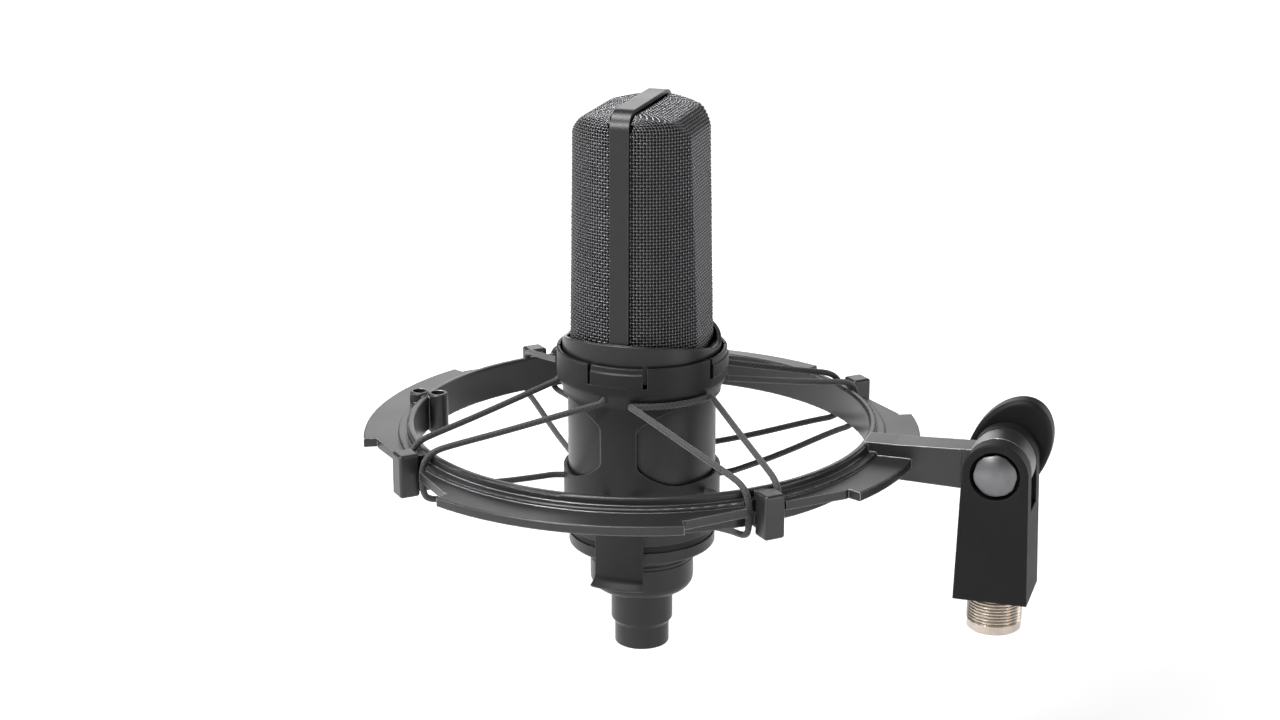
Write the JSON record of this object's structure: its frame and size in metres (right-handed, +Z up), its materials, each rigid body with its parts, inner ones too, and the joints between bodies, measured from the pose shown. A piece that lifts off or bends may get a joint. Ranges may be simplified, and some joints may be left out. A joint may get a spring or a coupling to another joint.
{
  "type": "shock-mounted condenser microphone",
  "caption": "Side-address condenser microphone with a woven grille, held by elastic loops in a suspension ring on a swivel stand clamp with a thumb knob.",
  "frame": {"origin": "centre of the stand thread's mouth", "axes": "+Z up along the stand thread and parallel to the microphone at rest, +X from the microphone towards the clamp, +Y along the pivot towards the thumb knob"},
  "size_m": [0.2285, 0.1862, 0.1893],
  "materials": {
    "cast_black": "fine textured matt black",
    "ring_grey": "satin dark grey",
    "bush_nickel": "satin nickel",
    "bolt_steel": "domed, polished",
    "washer_fibre": "fibre",
    "washer_steel": "plain",
    "knob_black": "matt moulded",
    "brass": "machined",
    "acetal": "natural",
    "elastic": "braided",
    "cradle_grey": "satin moulded",
    "rubber": "matt",
    "body_grey": "satin lacquer",
    "seam_black": "blackened",
    "grille_nickel": "blackened nickel wire",
    "strap_grey": "satin lacquer",
    "screen_mesh": "fine woven",
    "insulator": "moulded",
    "gold_film": "sputtered film",
    "capsule_brass": "turned",
    "chassis_zinc": "passivated",
    "board_green": "solder resist",
    "component_grey": "mixed",
    "switch_black": "moulded",
    "steel_screw": "plain",
    "pin_nickel": "plated",
    "insert_black": "moulded"
  },
  "bodies": {
    "stand_clamp": {"clevis": "cast_black", "thread_bush": "bush_nickel", "pivot_bolt": "bolt_steel", "friction_washers": "washer_fibre", "knob_washer": "washer_steel"},
    "knob": {"clamp_knob": "knob_black", "knob_insert": "brass"},
    "ring": {"suspension_ring": "ring_grey", "pivot_bush": "acetal", "elastic_loop_front_right": "elastic", "elastic_loop_front_left": "elastic", "elastic_loop_back_left": "elastic", "elastic_loop_back_right": "elastic"},
    "cradle": {"cradle_sleeve": "cradle_grey", "grip_pads": "rubber"},
    "tongue": {"release_tongue": "cradle_grey"},
    "microphone": {"body_shell": "body_grey", "base_seam_ring": "seam_black", "base_ring": "body_grey", "tail_cup": "body_grey", "connector_barrel": "body_grey", "connector_insert": "insert_black", "connector_pins": "pin_nickel", "grille_mesh": "grille_nickel", "inner_screen": "screen_mesh", "grille_strap": "strap_grey", "grille_seat_ring": "seam_black", "capsule_ring": "capsule_brass", "diaphragm_front": "gold_film", "diaphragm_rear": "gold_film", "capsule_saddle": "insulator", "capsule_post": "insulator", "chassis_frame": "chassis_zinc", "circuit_board": "board_green", "board_components": "component_grey", "switch_cases": "switch_black", "chassis_screws": "steel_screw"},
    "pad_switch": {"pad_switch": "switch_black"},
    "filter_switch": {"filter_switch": "switch_black"}
  },
  "joints": [
    {"name": "tilt", "type": "hinge", "parent": "stand_clamp", "child": "ring", "pos_m": [0, 0, 0.056], "axis": [0, 1, 0], "range_deg": [-20, 95]},
    {"name": "knob_turn", "type": "hinge", "parent": "stand_clamp", "child": "knob", "pos_m": [0, 0, 0.056], "axis": [0, 1, 0], "range_deg": [-90, 180]},
    {"name": "cradle_bounce", "type": "slide", "parent": "ring", "child": "cradle", "axis": [0, 0, 1], "range_m": [-0.003, 0.003], "stiffness_N_per_m": 4000, "deforming": ["elastic_loop_front_right", "elastic_loop_front_left", "elastic_loop_back_left", "elastic_loop_back_right"]},
    {"name": "tongue_flex", "type": "hinge", "parent": "cradle", "child": "tongue", "pos_m": [-0.1212, -0.0258, 0.0358], "axis": [-1, 0, 0], "range_deg": [0, 8], "stiffness_Nm_per_rad": 0.05},
    {"name": "mic_lift", "type": "slide", "parent": "cradle", "child": "microphone", "axis": [0, 0, 1], "range_m": [0, 0.07]},
    {"name": "pad_slide", "type": "slide", "parent": "microphone", "child": "pad_switch", "axis": [0, 0, 1], "range_m": [0, 0.0026]},
    {"name": "filter_slide", "type": "slide", "parent": "microphone", "child": "filter_switch", "axis": [0, 0, 1], "range_m": [0, 0.0026]}
  ]
}
